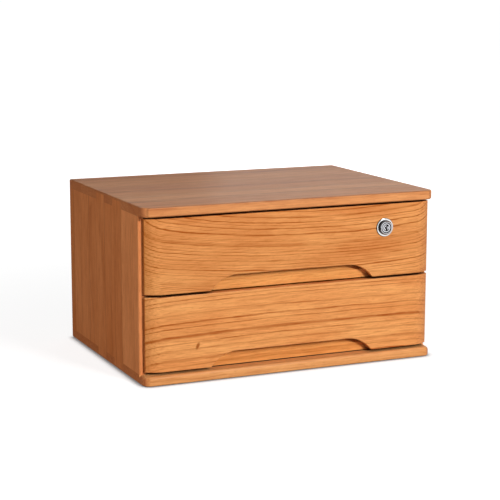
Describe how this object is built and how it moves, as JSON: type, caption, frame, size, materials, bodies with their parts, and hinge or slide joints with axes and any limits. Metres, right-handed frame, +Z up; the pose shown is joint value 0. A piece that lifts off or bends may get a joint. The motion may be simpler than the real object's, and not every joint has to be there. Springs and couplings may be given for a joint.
{
  "type": "two-drawer desktop cabinet",
  "caption": "Lockable wooden desktop cabinet with drawers on wooden runners, curved drawer faces with finger pulls and a barrel lock.",
  "frame": {"origin": "middle of the underside, which rests on the desk", "axes": "+X along the width, +Y from the front to the back, +Z up"},
  "size_m": [0.4, 0.29, 0.22],
  "materials": {
    "case_wood": "satin lacquered solid wood, honey brown",
    "face_wood": "satin lacquered solid wood, flat-sawn grain along the drawer",
    "box_wood": "sanded solid wood, thinly lacquered",
    "runner_wood": "waxed hardwood",
    "plywood": "sanded plywood",
    "chrome": "polished chrome plate",
    "zinc_plated_steel": "zinc plated"
  },
  "bodies": {
    "case": {"top_board": "case_wood", "bottom_board": "case_wood", "left_side_panel": "case_wood", "right_side_panel": "case_wood", "back_panel": "plywood", "back_panel_screws": "zinc_plated_steel", "upper_left_runner": "runner_wood", "upper_right_runner": "runner_wood", "lower_left_runner": "runner_wood", "lower_right_runner": "runner_wood", "runner_screws": "zinc_plated_steel", "strike_plate": "zinc_plated_steel", "strike_screws": "zinc_plated_steel"},
    "upper_drawer": {"upper_drawer_face": "face_wood", "upper_drawer_box_front": "box_wood", "upper_drawer_left_wall": "box_wood", "upper_drawer_right_wall": "box_wood", "upper_drawer_back_wall": "box_wood", "upper_drawer_bottom": "plywood", "upper_drawer_face_screws": "zinc_plated_steel", "lock_case": "chrome", "lock_cover": "zinc_plated_steel", "lock_ring": "chrome", "lock_screws": "zinc_plated_steel"},
    "lower_drawer": {"lower_drawer_face": "face_wood", "lower_drawer_box_front": "box_wood", "lower_drawer_left_wall": "box_wood", "lower_drawer_right_wall": "box_wood", "lower_drawer_back_wall": "box_wood", "lower_drawer_bottom": "plywood", "lower_drawer_face_screws": "zinc_plated_steel"},
    "lock_plug": {"lock_plug": "chrome"},
    "lock_bolt": {"lock_bolt": "zinc_plated_steel"}
  },
  "joints": [
    {"name": "upper_drawer_slide", "type": "slide", "parent": "case", "child": "upper_drawer", "axis": [0, -1, 0], "range_m": [0, 0.2]},
    {"name": "lower_drawer_slide", "type": "slide", "parent": "case", "child": "lower_drawer", "axis": [0, -1, 0], "range_m": [0, 0.2]},
    {"name": "lock_plug_turn", "type": "hinge", "parent": "upper_drawer", "child": "lock_plug", "pos_m": [0.1309, -0.1446, 0.175], "axis": [0, 1, 0], "range_deg": [0, 180]},
    {"name": "lock_bolt_slide", "type": "slide", "parent": "upper_drawer", "child": "lock_bolt", "axis": [0, 0, 1], "range_m": [0, 0.01]}
  ],
  "couplings": [
    {"joint": "lock_plug_turn", "follows": "lock_bolt_slide", "rad_per_m": 314.16}
  ]
}
